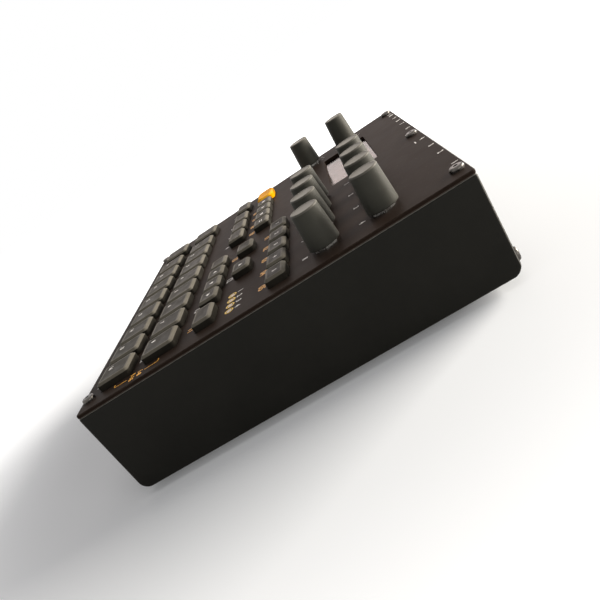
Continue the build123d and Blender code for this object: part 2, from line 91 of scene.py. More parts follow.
def placeLamp(name, place, aim, width, height, watts, colour):
    # a rectangular soft lamp turned towards its aim
    light = bpy.data.lights.new(name, "AREA")
    light.shape = "RECTANGLE"
    light.size, light.size_y = width, height
    light.energy = watts
    light.color = colour
    lamp = bpy.data.objects.new(name, light)
    lamp.location = place
    lamp.rotation_euler = (Vector(aim) - Vector(place)).to_track_quat("-Z", "Y").to_euler()
    bpy.context.scene.collection.objects.link(lamp)


def feed(tree, value, socket):
    # links a socket, or sets a plain value
    if isinstance(value, bpy.types.NodeSocket):
        tree.links.new(value, socket)
    else:
        socket.default_value = value


def maths(tree, operation, first, second=0.0, clamp=False):
    # one sum on two sockets or plain values
    node = tree.nodes.new("ShaderNodeMath")
    node.operation = operation
    node.use_clamp = clamp
    feed(tree, first, node.inputs[0])
    feed(tree, second, node.inputs[1])
    return node.outputs[0]


def ranged(tree, value, low, high, toLow=0.0, toHigh=1.0):
    # carries low..high to toLow..toHigh along a smooth step
    node = tree.nodes.new("ShaderNodeMapRange")
    node.interpolation_type = "SMOOTHSTEP"
    for label, item in (("Value", value), ("From Min", low), ("From Max", high),
                        ("To Min", toLow), ("To Max", toHigh)):
        feed(tree, item, node.inputs[label])
    return node.outputs["Result"]


stageSet = {
    "floorColour": (0.78, 0.80, 0.83, 1),
    "glowWithPaintedShade": (0.11, 0.96),    # near and far: added where the floor is looked at; far off it reads as white, and the low near value leaves a painted shade on the floor round the object
    "paintedShadeReach": (0.15, 0.42),
    "skyShown": 1.0,         # world strength that is looked at
    "skyLight": 0.22,        # world strength that lights the object
    "floorSize": 40.0,
}


def seenMask(tree):
    # 1 for camera, glossy and transmission rays, 0 for the rays that light the object
    path = tree.nodes.new("ShaderNodeLightPath")
    total = path.outputs["Is Camera Ray"]
    for extra in ("Is Glossy Ray", "Is Transmission Ray"):
        total = maths(tree, "MAXIMUM", total, path.outputs[extra])
    return total


def buildStage(values):
    # white surroundings, and a floor whose glow grows with distance so that it ends in white; the
    # low glow near the object is a painted shade round it that deepens its shadow
    world = bpy.data.worlds.new("studio")
    bpy.context.scene.world = world
    world.use_nodes = True
    tree = world.node_tree
    background = tree.nodes["Background"]
    background.inputs["Color"].default_value = (1, 1, 1, 1)
    strength = ranged(tree, seenMask(tree), 0.0, 1.0, values["skyLight"], values["skyShown"])
    tree.links.new(strength, background.inputs["Strength"])

    material = bpy.data.materials.new("stagePaper")
    material.use_nodes = True
    tree = material.node_tree
    tree.nodes.clear()
    paper = tree.nodes.new("ShaderNodeBsdfDiffuse")
    paper.inputs["Color"].default_value = values["floorColour"]
    glowWithPaintedShade = tree.nodes.new("ShaderNodeEmission")
    place = tree.nodes.new("ShaderNodeTexCoord")
    length = tree.nodes.new("ShaderNodeVectorMath")
    length.operation = "LENGTH"
    both = tree.nodes.new("ShaderNodeAddShader")
    out = tree.nodes.new("ShaderNodeOutputMaterial")
    tree.links.new(place.outputs["Object"], length.inputs[0])
    # low glow near the object, full glow far off: the low part is a painted shade on the floor
    # round the object
    glowPastPaintedShade = ranged(tree, length.outputs["Value"], *values["paintedShadeReach"], *values["glowWithPaintedShade"])
    tree.links.new(maths(tree, "MULTIPLY", seenMask(tree), glowPastPaintedShade), glowWithPaintedShade.inputs["Strength"])
    tree.links.new(paper.outputs[0], both.inputs[0])
    tree.links.new(glowWithPaintedShade.outputs[0], both.inputs[1])
    tree.links.new(both.outputs[0], out.inputs["Surface"])

    half = values["floorSize"] / 2
    mesh = bpy.data.meshes.new("stageFloor")
    mesh.from_pydata([(-half, -half, 0), (half, -half, 0), (half, half, 0), (-half, half, 0)],
                     [], [(0, 1, 2, 3)])
    mesh.materials.append(material)
    floor = bpy.data.objects.new("stageFloor", mesh)
    bpy.context.scene.collection.objects.link(floor)


bpy.context.scene.view_settings.view_transform = "Standard"
placeCamera(cameraSet)
for lampName, lampValues in lampSet.items():
    placeLamp(lampName, *lampValues)
buildStage(stageSet)
print("camera, lamps and floor placed")


def newGroup(name, inputs, outputs):
    # an empty shader group; inputs are (name, kind, value) and outputs (name, kind)
    tree = bpy.data.node_groups.new(name, "ShaderNodeTree")
    for label, kind, value in inputs:
        socket = tree.interface.new_socket(label, in_out="INPUT", socket_type=kind)
        if value is not None:
            socket.default_value = value
    for label, kind in outputs:
        tree.interface.new_socket(label, in_out="OUTPUT", socket_type=kind)
    return tree, tree.nodes.new("NodeGroupInput"), tree.nodes.new("NodeGroupOutput")


def noise(tree, place, scale, detail=3.0, roughness=0.55):
    node = tree.nodes.new("ShaderNodeTexNoise")
    feed(tree, place, node.inputs["Vector"])
    feed(tree, scale, node.inputs["Scale"])
    feed(tree, detail, node.inputs["Detail"])
    feed(tree, roughness, node.inputs["Roughness"])
    return node.outputs["Fac"]


def mixed(tree, factor, first, second):
    # first colour at factor 0, second at 1
    node = tree.nodes.new("ShaderNodeMix")
    node.data_type = "RGBA"
    feed(tree, factor, node.inputs["Factor"])
    feed(tree, first, node.inputs[6])         # 6, 7 and output 2 are the colour sockets
    feed(tree, second, node.inputs[7])
    return node.outputs[2]


grainSet = {
    "cellScale": 0.55, "cellHeight": 0.6,     # shares of the grain's scale and height
    "mottle": (0.30, 0.70), "pitScale": 0.35, "pits": (0.62, 0.74),
}


def buildGrainGroup(values):
    # fine texture of a moulded or painted skin: a height, a slow mottle and small pits
    tree, start, end = newGroup("fineGrain", [
        ("Vector", "NodeSocketVector", None), ("Grain", "NodeSocketFloat", 2500.0),
        ("Mottle", "NodeSocketFloat", 60.0)],
        [("Height", "NodeSocketFloat"), ("Mottle", "NodeSocketFloat"),
         ("Pits", "NodeSocketFloat")])
    place, grain = start.outputs["Vector"], start.outputs["Grain"]
    fine = noise(tree, place, grain, detail=2.0)
    cells = tree.nodes.new("ShaderNodeTexVoronoi")
    feed(tree, place, cells.inputs["Vector"])
    feed(tree, maths(tree, "MULTIPLY", grain, values["cellScale"]), cells.inputs["Scale"])
    cellDistance = maths(tree, "MULTIPLY", cells.outputs["Distance"], values["cellHeight"])
    tree.links.new(maths(tree, "ADD", fine, cellDistance), end.inputs["Height"])
    slow = noise(tree, place, start.outputs["Mottle"], detail=5.0, roughness=0.62)
    tree.links.new(ranged(tree, slow, *values["mottle"]), end.inputs["Mottle"])
    pits = noise(tree, place, maths(tree, "MULTIPLY", grain, values["pitScale"]), detail=1.0)
    tree.links.new(ranged(tree, pits, *values["pits"]), end.inputs["Pits"])
    return tree


wearAndHighlightSet = {"lift": 0.45, "fade": 0.22}     # added to the noise, and the width of the mask's edge


def buildWearAndHighlightGroup(values):
    # rubbed edges, and on the case and keys a painted edge highlight: an edge mask broken up by
    # noise
    tree, start, end = newGroup("edgeWearAndHighlight", [
        ("Vector", "NodeSocketVector", None), ("Edge", "NodeSocketFloat", 0.0),
        ("Amount", "NodeSocketFloat", 0.5), ("Scale", "NodeSocketFloat", 400.0)],
        [("Mask", "NodeSocketFloat")])
    rough = noise(tree, start.outputs["Vector"], start.outputs["Scale"], detail=6.0,
                  roughness=0.7)
    limit = maths(tree, "SUBTRACT", 1.0, start.outputs["Amount"])
    lifted = maths(tree, "ADD", rough, values["lift"])
    broken = maths(tree, "MULTIPLY", start.outputs["Edge"], lifted)
    above = maths(tree, "SUBTRACT", broken, limit)
    tree.links.new(ranged(tree, above, 0.0, values["fade"]), end.inputs["Mask"])
    return tree


def buildBoxEdgeGroup():
    # 1 along the edges of an upright box, from the second nearest of its three face distances
    tree, start, end = newGroup("boxEdge", [
        ("Vector", "NodeSocketVector", None), ("Centre", "NodeSocketVector", None),
        ("Half", "NodeSocketVector", None), ("Width", "NodeSocketFloat", 0.001)],
        [("Edge", "NodeSocketFloat")])

    def vectorMaths(operation, first, second=None):
        node = tree.nodes.new("ShaderNodeVectorMath")
        node.operation = operation
        feed(tree, first, node.inputs[0])
        if second is not None:
            feed(tree, second, node.inputs[1])
        return node.outputs[0]

    away = vectorMaths("ABSOLUTE", vectorMaths("SUBTRACT", start.outputs["Vector"],
                                               start.outputs["Centre"]))
    left = vectorMaths("SUBTRACT", start.outputs["Half"], away)
    parts = tree.nodes.new("ShaderNodeSeparateXYZ")
    tree.links.new(left, parts.inputs[0])
    a, b, c = parts.outputs
    second = maths(tree, "MAXIMUM", maths(tree, "MINIMUM", a, b),
                   maths(tree, "MINIMUM", maths(tree, "MAXIMUM", a, b), c))
    tree.links.new(ranged(tree, second, 0.0, start.outputs["Width"], 1.0, 0.0),
                   end.inputs["Edge"])
    return tree


dustSet = {
    "facing": (0.45, 0.95),                    # upward share of the normal, from clean to dusty
    "cloudScale": 45.0, "cloud": (0.42, 0.78),
    "speckScale": 900.0, "speck": (0.05, 0.17), "thinScale": 260.0, "thin": (0.56, 0.66),
    "colour": (0.30, 0.245, 0.200, 1), "roughen": 0.3,
}


def buildDustGroup(values):
    # dust that settles on faces that look up: a thin film and scattered specks
    tree, start, end = newGroup("settledDust", [
        ("Vector", "NodeSocketVector", None), ("Film", "NodeSocketFloat", 0.3),
        ("Specks", "NodeSocketFloat", 0.5)],
        [("Mask", "NodeSocketFloat")])
    place = start.outputs["Vector"]
    facing = tree.nodes.new("ShaderNodeTexCoord")
    parts = tree.nodes.new("ShaderNodeSeparateXYZ")
    tree.links.new(facing.outputs["Normal"], parts.inputs[0])
    upward = ranged(tree, parts.outputs["Z"], *values["facing"])
    cloud = ranged(tree, noise(tree, place, values["cloudScale"], detail=6.0, roughness=0.65),
                   *values["cloud"])
    film = maths(tree, "MULTIPLY", cloud, start.outputs["Film"])
    cells = tree.nodes.new("ShaderNodeTexVoronoi")
    feed(tree, place, cells.inputs["Vector"])
    feed(tree, values["speckScale"], cells.inputs["Scale"])
    dot = ranged(tree, cells.outputs["Distance"], *values["speck"], 1.0, 0.0)
    thin = ranged(tree, noise(tree, place, values["thinScale"]), *values["thin"])
    specks = maths(tree, "MULTIPLY", maths(tree, "MULTIPLY", dot, thin), start.outputs["Specks"])
    total = maths(tree, "ADD", film, specks, clamp=True)
    tree.links.new(maths(tree, "MULTIPLY", total, upward), end.inputs["Mask"])
    return tree


grainGroup = buildGrainGroup(grainSet)
wearAndHighlightGroup = buildWearAndHighlightGroup(wearAndHighlightSet)
boxEdgeGroup = buildBoxEdgeGroup()
dustGroup = buildDustGroup(dustSet)
print("shader groups built")


finishSet = {
    # dust is (film, specks), depth the bump's height and edgeWidth the reach of the pale edge tone
    # on a box;
    # the edge tone is rubbed wear, and on the case and the keys also a painted highlight;
    # a finish with no box takes its edge tone from the piece's own edge attribute
    # casePaint: the pale edge colour is a painted highlight, a thin light line along the case's
    # box edges and its rolled top rim
    "casePaint": {
        "base": (0.0095, 0.0092, 0.0078), "varied": (0.0125, 0.0120, 0.0102),
        "rough": (0.36, 0.46), "grain": 2600, "mottle": 34, "depth": 0.012,
        "wornOrHighlight": (0.20, 0.19, 0.17), "wearAndHighlight": 0.82, "dust": (0.02, 0.05),
        "specular": 0.09, "gloss": (1.0, 0.97, 0.90), "sheen": 0.0,
        "box": "bottom_case", "edgeWidth": 0.0007,
    },
    "panelPaint": {
        "base": (0.0135, 0.0086, 0.0062), "varied": (0.0158, 0.0101, 0.0074),
        "rough": (0.53, 0.56), "grain": 1900, "mottle": 120, "depth": 0.015,
        "wornOrHighlight": (0.075, 0.062, 0.052), "wearAndHighlight": 0.52, "dust": (0.018, 0.55),
        "specular": 0.032, "gloss": (1.0, 0.76, 0.60), "sheen": 0.0,
        "box": "top_panel", "edgeWidth": 0.0005,
    },
    # on the key caps the pale edge colour is partly rubbed wear and partly a painted highlight
    # along the bevels
    "keyRubber": {
        "base": (0.0135, 0.0118, 0.0092), "varied": (0.0200, 0.0176, 0.0138),
        "rough": (0.46, 0.60), "grain": 3400, "mottle": 160, "depth": 0.010,
        "wornOrHighlight": (0.115, 0.105, 0.085), "wearAndHighlight": 0.70, "dust": (0.04, 0.25),
        "specular": 0.065, "gloss": (1.0, 0.93, 0.80), "sheen": 0.02,
    },
    "functionRubber": {
        "base": (0.95, 0.38, 0.001), "varied": (0.98, 0.43, 0.002),
        "rough": (0.42, 0.55), "grain": 3400, "mottle": 160, "depth": 0.008,
        "wornOrHighlight": (0.95, 0.46, 0.03), "wearAndHighlight": 0.55, "dust": (0.0, 0.05),
        "specular": 0.025, "gloss": (1.0, 0.62, 0.12), "sheen": 0.0,
    },
    "knobRubber": {
        "base": (0.0360, 0.0355, 0.0290), "varied": (0.0450, 0.0442, 0.0365),
        "rough": (0.48, 0.58), "grain": 4200, "mottle": 120, "depth": 0.006,
        "wornOrHighlight": (0.085, 0.080, 0.068), "wearAndHighlight": 0.50, "dust": (0.05, 0.14),
        "specular": 0.17, "gloss": (1.0, 0.93, 0.84), "sheen": 0.10,
    },
    "footRubber": {
        "base": (0.012, 0.012, 0.012), "varied": (0.020, 0.020, 0.019),
        "rough": (0.70, 0.85), "grain": 2200, "mottle": 240, "depth": 0.030,
        "wornOrHighlight": (0.05, 0.05, 0.05), "wearAndHighlight": 0.60, "dust": (0.10, 0.30),
        "specular": 0.35, "gloss": (1.0, 1.0, 1.0), "sheen": 0.05,
    },
    "mouldedBlack": {
        "base": (0.012, 0.012, 0.012), "varied": (0.018, 0.018, 0.018),
        "rough": (0.38, 0.50), "grain": 2800, "mottle": 200, "depth": 0.014,
        "wornOrHighlight": (0.06, 0.06, 0.06), "wearAndHighlight": 0.45, "dust": (0.04, 0.08),
        "specular": 0.30, "gloss": (1.0, 1.0, 1.0), "sheen": 0.0,
    },
    "displayGlass": {
        "base": (0.010, 0.008, 0.014), "varied": (0.014, 0.010, 0.018),
        "rough": (0.16, 0.24), "grain": 5000, "mottle": 60, "depth": 0.001,
        "wornOrHighlight": (0.02, 0.02, 0.03), "wearAndHighlight": 0.30, "dust": (0.01, 0.04),
        "specular": 0.08, "gloss": (1.0, 0.80, 0.74), "sheen": 0.0,
    },
    "boardMask": {
        "base": (0.008, 0.030, 0.016), "varied": (0.012, 0.042, 0.022),
        "rough": (0.30, 0.42), "grain": 1500, "mottle": 300, "depth": 0.010,
        "wornOrHighlight": (0.30, 0.26, 0.12), "wearAndHighlight": 0.35, "dust": (0.05, 0.10),
        "specular": 0.50, "gloss": (1.0, 1.0, 1.0), "sheen": 0.0,
    },
}


def groupNode(tree, group, **values):
    # places a group with its inputs linked or set
    node = tree.nodes.new("ShaderNodeGroup")
    node.node_tree = group
    for label, value in values.items():
        feed(tree, value, node.inputs[label])
    return node


def newMaterial(name, grainScale, mottleScale):
    # a Principled material with the grain group on Object coordinates
    material = bpy.data.materials.new(name)
    material.use_nodes = True
    tree = material.node_tree
    place = tree.nodes.new("ShaderNodeTexCoord").outputs["Object"]
    grain = groupNode(tree, grainGroup, Vector=place, Grain=float(grainScale),
                      Mottle=float(mottleScale))
    return material, tree, tree.nodes["Principled BSDF"], place, grain


def linkSkin(tree, shader, colour, level, rough):
    # the colour as given, and a roughness that a level of 0 to 1 carries through its range
    tree.links.new(colour, shader.inputs["Base Color"])
    tree.links.new(ranged(tree, level, 0.0, 1.0, *rough), shader.inputs["Roughness"])


def linkBump(tree, shader, height, strength, depth):
    # raises the surface by depth millimetres at height 1
    bump = tree.nodes.new("ShaderNodeBump")
    bump.inputs["Strength"].default_value = strength
    bump.inputs["Distance"].default_value = depth * mm
    tree.links.new(height, bump.inputs["Height"])
    tree.links.new(bump.outputs["Normal"], shader.inputs["Normal"])


skinSet = {"bump": 0.6, "sheenRough": 0.35, "sheenTint": (1.0, 0.94, 0.84, 1)}     # on every skin


def makeFinish(name, values):
    # a painted, moulded or rubber skin: mottled colour, a pale edge tone (rubbed wear, and on the
    # case and keys also a painted highlight), dust and grain
    material, tree, shader, place, grain = newMaterial(name, values["grain"], values["mottle"])
    if "box" in values:
        low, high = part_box(values["box"])
        edge = groupNode(tree, boxEdgeGroup, Vector=place, Centre=(low + high) / 2,
                         Half=(high - low) / 2, Width=values["edgeWidth"]).outputs["Edge"]
    else:
        marked = tree.nodes.new("ShaderNodeAttribute")
        marked.attribute_name = "edge"
        edge = marked.outputs["Fac"]
    wearAndHighlight = groupNode(tree, wearAndHighlightGroup, Vector=place, Edge=edge, Amount=values["wearAndHighlight"])
    film, specks = values["dust"]
    dust = groupNode(tree, dustGroup, Vector=place, Film=film, Specks=specks)
    colour = mixed(tree, grain.outputs["Mottle"], (*values["base"], 1), (*values["varied"], 1))
    # the pale edge tone: rubbed wear, and on the case and key finishes a painted highlight
    colour = mixed(tree, wearAndHighlight.outputs["Mask"], colour, (*values["wornOrHighlight"], 1))
    colour = mixed(tree, dust.outputs["Mask"], colour, dustSet["colour"])
    tree.links.new(colour, shader.inputs["Base Color"])
    low, high = values["rough"]
    dusty = maths(tree, "MULTIPLY", dust.outputs["Mask"], dustSet["roughen"])
    tree.links.new(maths(tree, "ADD", ranged(tree, grain.outputs["Mottle"], 0.0, 1.0, low, high),
                         dusty, clamp=True), shader.inputs["Roughness"])
    shader.inputs["Specular IOR Level"].default_value = values["specular"]
    shader.inputs["Specular Tint"].default_value = (*values["gloss"], 1)
    shader.inputs["Sheen Weight"].default_value = values["sheen"]
    shader.inputs["Sheen Roughness"].default_value = skinSet["sheenRough"]
    shader.inputs["Sheen Tint"].default_value = skinSet["sheenTint"]
    linkBump(tree, shader, grain.outputs["Height"], skinSet["bump"], values["depth"])
    return material


metalSet = {
    # colour, varied colour, roughness range
    "nickelSteel": ((0.62, 0.60, 0.56), (0.50, 0.48, 0.45), (0.18, 0.34)),
    "blackSteel": ((0.060, 0.055, 0.050), (0.11, 0.10, 0.09), (0.24, 0.40)),
    "contactGold": ((0.58, 0.46, 0.26), (0.46, 0.36, 0.20), (0.24, 0.36)),
}
platingSet = {"grain": 3600.0, "mottle": 420.0, "bump": 0.4, "depth": 0.006}


def makeMetal(name, colour, varied, rough):
    # plated metal with slow stains and a fine grain
    plate = platingSet
    material, tree, shader, _, grain = newMaterial(name, plate["grain"], plate["mottle"])
    shader.inputs["Metallic"].default_value = 1.0
    stain = grain.outputs["Mottle"]
    linkSkin(tree, shader, mixed(tree, stain, (*colour, 1), (*varied, 1)), stain, rough)
    linkBump(tree, shader, grain.outputs["Height"], plate["bump"], plate["depth"])
    return material


inkSet = {
    # colour and the colour where the print is thin
    "whiteInk": ((0.86, 0.84, 0.80), (0.72, 0.69, 0.65)),
    "orangeInk": ((1.0, 0.48, 0.06), (0.92, 0.42, 0.05)),
    "amberInk": ((0.86, 0.56, 0.05), (0.68, 0.42, 0.03)),
}
inkSkin = {"grain": 5200.0, "mottle": 900.0, "rough": (0.48, 0.66)}


def makeInk(name, colour, wornOrHighlight):
    # screen print: slightly uneven, thin in places
    material, tree, shader, _, grain = newMaterial(name, inkSkin["grain"], inkSkin["mottle"])
    linkSkin(tree, shader, mixed(tree, grain.outputs["Mottle"], (*colour, 1), (*wornOrHighlight, 1)),
             grain.outputs["Pits"], inkSkin["rough"])
    return material


glassSet = {
    "tint": (0.42, 0.28, 0.24, 1), "rough": (0.10, 0.16), "ior": 1.22, "specular": 0.5,
    "gloss": (1.0, 0.84, 0.78, 1), "grain": 1200.0, "mottle": 150.0,
    "dust": (0.10, 0.5), "dustTint": (0.45, 0.42, 0.38, 1),      # dust is (film, specks)
}


def makeGlass(name, values):
    # clear acrylic with a faint haze of fingerprints in its roughness
    material, tree, shader, place, grain = newMaterial(name, values["grain"], values["mottle"])
    shader.inputs["Transmission Weight"].default_value = 1.0
    shader.inputs["IOR"].default_value = values["ior"]
    shader.inputs["Specular IOR Level"].default_value = values["specular"]
    shader.inputs["Specular Tint"].default_value = values["gloss"]
    film, specks = values["dust"]
    dust = groupNode(tree, dustGroup, Vector=place, Film=film, Specks=specks)
    linkSkin(tree, shader, mixed(tree, dust.outputs["Mask"], values["tint"], values["dustTint"]),
             grain.outputs["Mottle"], values["rough"])
    return material


amberSet = {
    "base": (0.14, 0.075, 0.012, 1), "deep": (0.08, 0.036, 0.006, 1), "rough": (0.22, 0.45),
    "grain": 2400.0, "mottle": 700.0, "coat": 0.15, "coatRough": 0.12,
}


def makeAmber(name, values):
    # amber light pipe: cloudy, glossy plastic
    material, tree, shader, _, grain = newMaterial(name, values["grain"], values["mottle"])
    shader.inputs["Coat Weight"].default_value = values["coat"]
    shader.inputs["Coat Roughness"].default_value = values["coatRough"]
    linkSkin(tree, shader, mixed(tree, grain.outputs["Mottle"], values["base"], values["deep"]),
             grain.outputs["Pits"], values["rough"])
    return material


materials = {name: makeFinish(name, values) for name, values in finishSet.items()}
materials.update({name: makeMetal(name, *values) for name, values in metalSet.items()})
materials.update({name: makeInk(name, *values) for name, values in inkSet.items()})
materials["windowGlass"] = makeGlass("windowGlass", glassSet)
materials["amberPipe"] = makeAmber("amberPipe", amberSet)
print("materials made:", len(materials))


def loftFaces(rows, columns):
    # faces of a stack of closed rings with a pole under the first ring and one over the last
    ring = np.arange(columns)
    following = (ring + 1) % columns
    rise = np.arange(rows - 1)[:, None] * columns
    quads = np.stack([rise + ring, rise + following, rise + columns + following,
                      rise + columns + ring], -1).reshape(-1, 4)
    under, over = rows * columns, rows * columns + 1
    last = (rows - 1) * columns
    foot = np.stack([np.full(columns, under), following, ring], -1)
    crown = np.stack([last + ring, last + following, np.full(columns, over)], -1)
    return quads.tolist() + foot.tolist() + crown.tolist()


def loftPoints(rings, underZ=None, overZ=None):
    # ring points in order, then the two poles at the middle of the first and the last ring
    under, over = rings[0].mean(0), rings[-1].mean(0)
    if underZ is not None:
        under[2] = underZ
    if overZ is not None:
        over[2] = overZ
    return np.concatenate([rings.reshape(-1, 3), [under], [over]])


def roundedRing(width, depth, corner, perCorner=7, perSide=3):
    # four quarter circles of radius corner joined by straight sides, counter-clockwise; each size
    # may be an array with one entry per ring, and the result is rings x points x 2
    width, depth, corner = np.broadcast_arrays(*(np.atleast_1d(v).astype(float)
                                                 for v in (width, depth, corner)))
    signs = [(1, 1), (-1, 1), (-1, -1), (1, -1)]
    arcs = []
    for quarter, (sx, sy) in enumerate(signs):
        angle = (quarter + np.linspace(0, 1, perCorner)) * pi / 2
        x = sx * (width / 2 - corner)[:, None] + corner[:, None] * np.cos(angle)
        y = sy * (depth / 2 - corner)[:, None] + corner[:, None] * np.sin(angle)
        arcs.append(np.stack([x, y], -1))
    parts = []
    share = np.linspace(0, 1, perSide + 2)[1:-1][None, :, None]
    for quarter in range(4):
        here, there = arcs[quarter], arcs[(quarter + 1) % 4]
        parts.append(here)
        parts.append(here[:, -1:] * (1 - share) + there[:, :1] * share)
    return np.concatenate(parts, 1)


def fillet(start, corner, end, radius, steps=5):
    # a rounded profile corner: the quadratic curve from radius before it to radius after it,
    # (1 - t) squared of one, 2 t (1 - t) of the corner and t squared of the other
    start, corner, end = (np.array(p, float) for p in (start, corner, end))
    before = corner + (start - corner) / np.linalg.norm(start - corner) * radius
    after = corner + (end - corner) / np.linalg.norm(end - corner) * radius
    t = np.linspace(0, 1, steps)[:, None]
    return (1 - t) ** 2 * before + 2 * t * (1 - t) * corner + t ** 2 * after


def roundedProfile(points, radii, steps=5):
    # a polyline with each inner corner rounded by its own radius
    rows = [np.array([points[0]], float)]
    for index in range(1, len(points) - 1):
        radius = radii[index - 1]
        if radius > 0:
            rows.append(fillet(points[index - 1], points[index], points[index + 1], radius, steps))
        else:
            rows.append(np.array([points[index]], float))
    rows.append(np.array([points[-1]], float))
    return np.concatenate(rows)


def revolve(profile, x, y, segments=64):
    # rings of a turned part: profile rows (radius, height) carried round the upright line at x, y
    angle = np.arange(segments) * 2 * pi / segments
    radius, height = profile[:, 0][:, None], profile[:, 1][:, None]
    return np.stack([x + radius * np.cos(angle), y + radius * np.sin(angle),
                     height + 0 * angle], -1)


def newPiece(name, points, faces, material, body, edge=None, sharp=38):
    # one finished mesh piece; edge is the share of the pale edge tone at each vertex (rubbed wear,
    # and on the key caps also a painted highlight), sharp the angle in degrees past which two
    # faces meet at a crease
    mesh = bpy.data.meshes.new(name)
    mesh.from_pydata(np.asarray(points).tolist(), [], faces)
    mesh.materials.append(materials[material])
    if edge is not None:
        mark = mesh.attributes.new("edge", "FLOAT", "POINT")
        mark.data.foreach_set("value", np.asarray(edge, np.float32))
    mesh.polygons.foreach_set("use_smooth", np.ones(len(mesh.polygons), bool))
    mesh.set_sharp_from_angle(angle=radians(sharp))
    mesh.update()
    piece = bpy.data.objects.new(name, mesh)
    bpy.context.scene.collection.objects.link(piece)
    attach(piece, body)
    return piece


keySet = {
    "lip": 0.9, "playUnderPanel": 0.25, "collar": 1.0,     # hidden collar, millimetres
    "plungerRadius": 2.0, "plungerChamfer": 0.2,
    "corner": 1.6, "functionCorner": 3.0, "cornerShrink": 0.6, "cornerLeast": 0.5,
    "bevel": 1.05, "bevelDrop": 0.95, "soften": 0.22, "flat": 1.2,
    "dish": 0.16, "dishShares": (0.82, 0.6, 0.38, 0.18),
    "rowsUnderEdgeTone": 3,               # cap rows below the bevel rows, which take the pale edge tone: rubbed wear and painted highlight
}
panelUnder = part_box("bottom_case")[1].z / mm     # underside of the panel, millimetres


def keyRings(width, depth, corner, top, bottom, values):
    # stack of rounded outlines from the plunger up: each profile row is (how far the outline
    # lies inside the cap's, height), and the last rows shrink towards the middle as a shallow bowl
    # whose depth grows with one minus the square of the share that is left
    collarTop = panelUnder - values["playUnderPanel"]
    collarLow = collarTop - values["collar"]
    lip, bevel, soften = values["lip"], values["bevel"], values["soften"]
    cap = roundedProfile(
        [(0, collarTop), (0, top - values["bevelDrop"]), (bevel, top),
         (bevel + values["flat"], top)], [soften, soften])
    inset, height = cap[:, 0], cap[:, 1]
    capRings = roundedRing(width - 2 * inset, depth - 2 * inset,
                           np.maximum(corner - values["cornerShrink"] * inset,
                                      values["cornerLeast"]))
    radius, chamfer = values["plungerRadius"], values["plungerChamfer"]
    across = [2 * radius - 2 * chamfer, 2 * radius, 2 * radius]
    low = roundedRing(across + [width + 2 * lip] * 2, across + [depth + 2 * lip] * 2,
                      [radius - chamfer, radius, radius] + [corner + lip] * 2)
    lowHeight = np.array([bottom, bottom + chamfer, collarLow, collarLow, collarTop])
    share = np.array(values["dishShares"])
    bowl = capRings[-1][None] * share[:, None, None]
    bowlHeight = top - values["dish"] * (1 - share ** 2)
    outline = np.concatenate([low, capRings, bowl])
    heights = np.concatenate([lowHeight, height, bowlHeight])
    rings = np.concatenate([outline, np.broadcast_to(heights[:, None, None],
                                                     outline.shape[:2] + (1,))], -1)
    edge = np.zeros(len(heights))
    # the bevel rows take the pale edge tone, partly rubbed wear and partly painted highlight
    edge[len(low) + values["rowsUnderEdgeTone"]:len(low) + len(height) - 1] = 1.0
    return rings, edge


def buildKeys(values):
    # one cap per key node, sized from the node's box; keeps (x, y, width, depth, top) of each
    caps = {}
    for name in keyNames:
        low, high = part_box(name)
        middle = (low + high) / 2 / mm
        width = (high.x - low.x) / mm - 2 * values["lip"]
        depth = (high.y - low.y) / mm - 2 * values["lip"]
        special = name == "key_function"
        corner = values["functionCorner"] if special else values["corner"]
        rings, edge = keyRings(width, depth, corner, high.z / mm, low.z / mm, values)
        rings = (rings + [middle.x, middle.y, 0]) * mm
        points = loftPoints(rings, overZ=high.z - values["dish"] * mm)
        edges = np.concatenate([np.repeat(edge, rings.shape[1]), [0, 0]])
        piece = newPiece("cap_" + name[4:], points, loftFaces(*rings.shape[:2]),
                         "functionRubber" if special else "keyRubber", name,
                         edges)
        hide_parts(name)
        caps[name] = (middle.x, middle.y, width, depth, high.z / mm)
    return caps


keyCaps = buildKeys(keySet)
print("keys built:", len(keyCaps))


knobSet = {
    "baseRadius": 6.65, "topRadius": 5.75, "belly": 0.06,     # rubber skin, millimetres
    "sideShares": (0.06, 0.94, 12),      # first and last share of the height, and how many rows
    "skirtEdge": 0.25, "skirtRise": 0.8, "topEdge": 0.55, "topSteps": 7, "rimEdge": 0.15,
    "rimWidth": 0.75, "rimSlope": 0.5, "rimDrop": 0.12,
    "dish": 0.22, "dishShares": (0.85, 0.12, 5), "panelGap": 1.2,
    "recessRadius": 5.7, "recessDepth": 3.4, "recessFlare": (0.1, 0.2), "recessEdge": 0.08,
    "roof": 3.0, "roofHole": 0.4, "bore": 3.02, "segments": 96, "wornRows": 8,
}
shaftSet = {
    "radius": 3.0, "flat": 2.3, "flatLength": 7.5, "flatStep": 0.05,
    "footChamfer": 0.3, "endChamfer": 0.4, "endGap": 0.3, "segments": 48,
}


